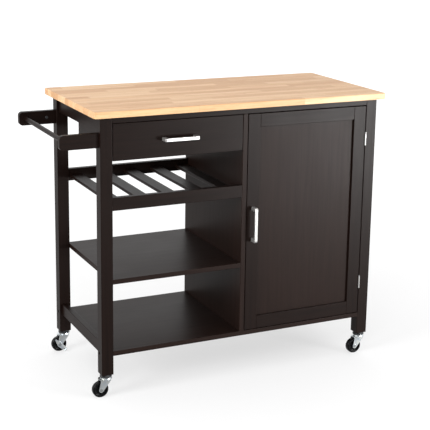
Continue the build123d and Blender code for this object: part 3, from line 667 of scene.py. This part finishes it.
PIN_COLLAR = 1.6                   # radii below are in pin radii
PIN_FOOT = 0.8
PIN_NOSE = 0.72
PIN_FOOT_CHAMFER = 0.6 * MM
PIN_NOSE_CHAMFER = 0.7 * MM
COLLAR_START, COLLAR_END = 0.05 * MM, 0.75 * MM
COLLAR_SLOPE = 0.05 * MM


def shelf_pins():
    """Plated shelf pins with a thin collar against the panel."""
    placed = []
    middle_x = sum(corner.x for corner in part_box("cabinet_shelf")) / 2
    for low, high in islands("shelf_pins"):
        direction = X_AXIS if low.x < middle_x else -X_AXIS
        radius = (high.z - low.z) / 2
        half = (high.x - low.x) / 2
        collar = PIN_COLLAR * radius
        profile = [(0, -half), (PIN_FOOT * radius, -half), (radius, PIN_FOOT_CHAMFER - half), (radius, 0.0),
                   (collar, COLLAR_START), (collar, COLLAR_END), (radius, COLLAR_END + COLLAR_SLOPE),
                   (radius, half - PIN_NOSE_CHAMFER), (PIN_NOSE * radius, half), (0, half)]
        placed.append((lambda bm, profile=profile: lathe(bm, profile), (low + high) / 2, direction))
    fastener_set("shelf_pin_set", placed, zinc, "cart", ["shelf_pins"])


FLAT_ANGLE = 0.5                   # degrees; faces that meet at less than this are one face


def softened(name, node, body, width):
    """A CAD part's shape with its edges rounded, to stand for that part."""
    bm = bmesh.new()
    bm.from_mesh(nodes[node].data)
    bmesh.ops.remove_doubles(bm, verts=bm.verts, dist=2 * WELD_DISTANCE)
    bmesh.ops.dissolve_limit(bm, angle_limit=math.radians(FLAT_ANGLE), verts=bm.verts, edges=bm.edges)
    finish_piece(name, bm, zinc, body, [node], bevel=width)


WHEEL_SEGMENTS = 96
WHEEL_RIM_HALF = 9 * MM            # half the rim's width
WHEEL_BORE = 3.06 * MM             # radius
HUB_RADIUS = 6.2 * MM
WEB_RADII = (9.4 * MM, 16.6 * MM)  # the sunk web between the hub and the rim
WEB_DEPTH = 3.5 * MM
WEB_ROUND = (0.8 * MM, 0.5 * MM)   # across and down
RIM_RADIUS = 18.8 * MM             # where the rim's flat side starts
RIM_ROUND = (0.6 * MM, 0.4 * MM)
GROOVE_RADII = (19.9 * MM, 20.2 * MM, 20.6 * MM)
GROOVE_DEPTH = 0.4 * MM
TREAD_ROUND = 4 * MM
TREAD_ARC = (0, 15, 30, 45, 60, 75, 90)    # degrees
SEAM_HALF, SEAM_DEPTH = 0.35 * MM, 0.12 * MM
RIB_COUNT = 8
RIB_SIZE = (9.6 * MM, 1.5 * MM, 2.4 * MM)
RIB_RADIUS = 12.8 * MM
RIB_SUNK = 3.1 * MM                # middle of a rib below the rim's side


def wheel_side(radius, hub):
    """(radius, height) points of one side of a wheel, from its bore to the edge of its tread."""
    half = WHEEL_RIM_HALF
    across, down = WEB_ROUND
    web = half - WEB_DEPTH
    side = [(WHEEL_BORE, hub), (HUB_RADIUS, hub), (HUB_RADIUS + across, hub - down),
            (WEB_RADII[0] - across, web + down), (WEB_RADII[0], web),
            (WEB_RADII[1], web), (WEB_RADII[1] + across, web + down),
            (RIM_RADIUS - RIM_ROUND[0], half - RIM_ROUND[1]), (RIM_RADIUS, half),
            (GROOVE_RADII[0], half), (GROOVE_RADII[1], half - GROOVE_DEPTH), (GROOVE_RADII[2], half)]
    for angle in map(math.radians, TREAD_ARC):
        inward = TREAD_ROUND * (1 - math.sin(angle))
        below = TREAD_ROUND * (1 - math.cos(angle))
        side.append((radius - inward, half - below))
    return side


def wheel(corner):
    """Moulded wheel: rounded tread with a seam, side grooves, ribbed web and a hub."""
    node = f"caster_{corner}_wheel"
    low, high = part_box(node)
    radius = (high.z - low.z) / 2
    side = wheel_side(radius, (high.y - low.y) / 2)
    seam = [(radius, SEAM_HALF), (radius - SEAM_DEPTH, 0.0), (radius, -SEAM_HALF)]
    profile = side + seam + [(r, -height) for r, height in reversed(side)] + side[:1]
    bm = bmesh.new()

    def moulding(bm):
        lathe(bm, profile, WHEEL_SEGMENTS)
        for angle in angles(RIB_COUNT):
            for face in (-1, 1):
                rib = bmesh.ops.create_cube(bm, size=1.0)["verts"]
                bmesh.ops.scale(bm, vec=RIB_SIZE, verts=rib)
                bmesh.ops.translate(bm, vec=(RIB_RADIUS, 0, face * (WHEEL_RIM_HALF - RIB_SUNK)), verts=rib)
                bmesh.ops.rotate(bm, cent=(0, 0, 0), matrix=Matrix.Rotation(angle, 3, "Z"), verts=rib)
    grow(bm, moulding, Matrix.Translation((low + high) / 2) @ turned_to(Y_AXIS))
    finish_piece(f"wheel_{corner}_moulding", bm, wheel_plastic, f"wheel_{corner}", [node])


FORK_ROUNDING = 0.45 * MM
LEVER_ROUNDING = 0.35 * MM

wood_screws()
joint_bolts()
handle_screws("drawer")
handle_screws("door")
hinge_leaf_screws()
catch_hardware()
shelf_pins()
for corner in CORNERS:
    wheel(corner)
    softened(f"fork_{corner}_pressing", f"caster_{corner}_fork", f"caster_{corner}", FORK_ROUNDING)
    if corner in BRAKED:
        softened(f"brake_{corner}_lever", f"caster_{corner}_brake", f"brake_{corner}", LEVER_ROUNDING)

# ---------------------------------------------------------------- floor, light and camera
WHITE = (1.0, 1.0, 1.0, 1.0)
FLOOR_RADIUS = 30.0
FLOOR_SEGMENTS = 96
FLOOR_TINTS = ((0.36, 0.36, 0.36), (0.34, 0.34, 0.343))
FLOOR_FAR_TINT = (0.30, 0.30, 0.30)
FLOOR_GLOW = (0.60, 0.84)          # painted light: the floor's own emission, near the cart and away from it
FLOOR_GLOW_SPAN = (0.8, 3.5)       # metres from the cart between the two
FLOOR_FAR_GLOW = 0.56
FADE_DIRECTION = (-0.75, -0.66)    # front left
FADE_SPAN = (0.6, 3.2)             # metres that way from the cart
WORLD_BRIGHT_SIDE = (0.78, 0.45, 0.44)
WORLD_SPAN = (-0.3, 0.6)           # cosines to the bright side between the two levels
WORLD_LEVELS = (0.40, 1.18)
CAMERA_PLACE = (-1.561, -3.356, 1.509)
CAMERA_ANGLES = (25.65, -13.29, 0.88)  # degrees: turn to the right, tilt and roll
CAMERA_SENSOR = 36.0               # millimetres, like the lens
CAMERA_LENS = 96.9
CAMERA_SHIFT = (0.0, -0.1)
CAMERA_REACH = 100.0


def floor_material():
    """Pale matt studio floor that glows as painted light, which keeps it white and its shadows faint;
    towards the front left its colour and glow fall to a very light grey, which dims the light bounced onto
    the cart's front.
    """
    s = Shader("studio_floor", Roughness=0.9, Specular_IOR_Level=0.1, Emission_Color=WHITE)
    place = s.place()
    cloud = s.noise(place, scale=1.5, detail=3.0)
    x, y, _ = s.axes(place)
    leftward, forward = (s.math("MULTIPLY", value, share) for value, share in zip((x, y), FADE_DIRECTION))
    towards = s.math("ADD", leftward, forward)
    fade = s.node("MapRange", {"interpolation_type": "SMOOTHSTEP"}, Value=towards, From_Min=FADE_SPAN[0],
                  From_Max=FADE_SPAN[1], To_Min=0.0, To_Max=1.0)
    distance = s.node("VectorMath", {"operation": "LENGTH"}, "Value", i0=place)
    glow = s.scale_range(distance, *FLOOR_GLOW, *FLOOR_GLOW_SPAN)
    s.feed(Base_Color=s.mix(fade, s.mix(cloud, *FLOOR_TINTS), FLOOR_FAR_TINT),
           Emission_Strength=s.scale_range(fade, glow, FLOOR_FAR_GLOW))
    return s.material


def studio_floor():
    """A wide flat disc on z = 0, left out of reflections so that the glossy parts keep their contrast."""
    mesh = bpy.data.meshes.new("studio_floor")
    bm = bmesh.new()
    bmesh.ops.create_circle(bm, cap_ends=True, segments=FLOOR_SEGMENTS, radius=FLOOR_RADIUS)
    bm.to_mesh(mesh)
    bm.free()
    mesh.materials.append(floor_material())
    floor = bpy.data.objects.new("studio_floor", mesh)
    scene.collection.objects.link(floor)
    floor.visible_glossy = False


def studio_world():
    """Soft white studio light, brightest at the back right and above, dimmest at the front left."""
    world = bpy.data.worlds.new("studio")
    world.use_nodes = True
    scene.world = world
    tree = world.node_tree
    background = tree.nodes["Background"]
    background.inputs["Color"].default_value = WHITE
    place = tree.nodes.new("ShaderNodeTexCoord")
    facing = tree.nodes.new("ShaderNodeVectorMath")
    facing.operation = "DOT_PRODUCT"
    facing.inputs[1].default_value = WORLD_BRIGHT_SIDE
    tree.links.new(place.outputs["Generated"], facing.inputs[0])
    level = tree.nodes.new("ShaderNodeMapRange")
    ends = dict(zip(("From Min", "From Max", "To Min", "To Max"), (*WORLD_SPAN, *WORLD_LEVELS)))
    for socket, value in ends.items():
        level.inputs[socket].default_value = value
    tree.links.new(facing.outputs["Value"], level.inputs["Value"])
    tree.links.new(level.outputs["Result"], background.inputs["Strength"])


def softbox(name, place, target, size, power):
    """A rectangular area light aimed at a point."""
    light = bpy.data.lights.new(name, "AREA")
    light.shape = "RECTANGLE"
    light.size, light.size_y = size
    light.energy = power
    lamp = bpy.data.objects.new(name, light)
    lamp.location = place
    lamp.rotation_euler = (Vector(target) - Vector(place)).to_track_quat("-Z", "Y").to_euler()
    scene.collection.objects.link(lamp)


def camera():
    """The product picture's view, from the front left and a little above the worktop."""
    data = bpy.data.cameras.new("camera")
    data.lens = CAMERA_LENS
    data.sensor_width = CAMERA_SENSOR
    data.shift_x, data.shift_y = CAMERA_SHIFT
    data.clip_end = CAMERA_REACH
    camera_object = bpy.data.objects.new("camera", data)
    yaw, pitch, roll = (math.radians(angle) for angle in CAMERA_ANGLES)
    turn = Matrix.Rotation(-yaw, 4, "Z") @ Matrix.Rotation(math.pi / 2 + pitch, 4, "X")
    turn = turn @ Matrix.Rotation(roll, 4, "Z")
    camera_object.matrix_world = Matrix.Translation(CAMERA_PLACE) @ turn
    scene.collection.objects.link(camera_object)
    scene.camera = camera_object


studio_floor()
studio_world()
softbox("front_box", place=(-1.9, -3.2, 3.0), target=(0.0, 0.0, 0.55), size=(1.6, 1.4), power=42)
softbox("left_box", place=(-3.3, -0.9, 1.5), target=(-0.3, 0.0, 0.55), size=(1.6, 1.2), power=88)
softbox("right_box", place=(2.2, -2.8, 0.36), target=(0.3, -0.2, 0.42), size=(1.0, 0.66), power=100)
camera()
scene.view_settings.view_transform = "Standard"
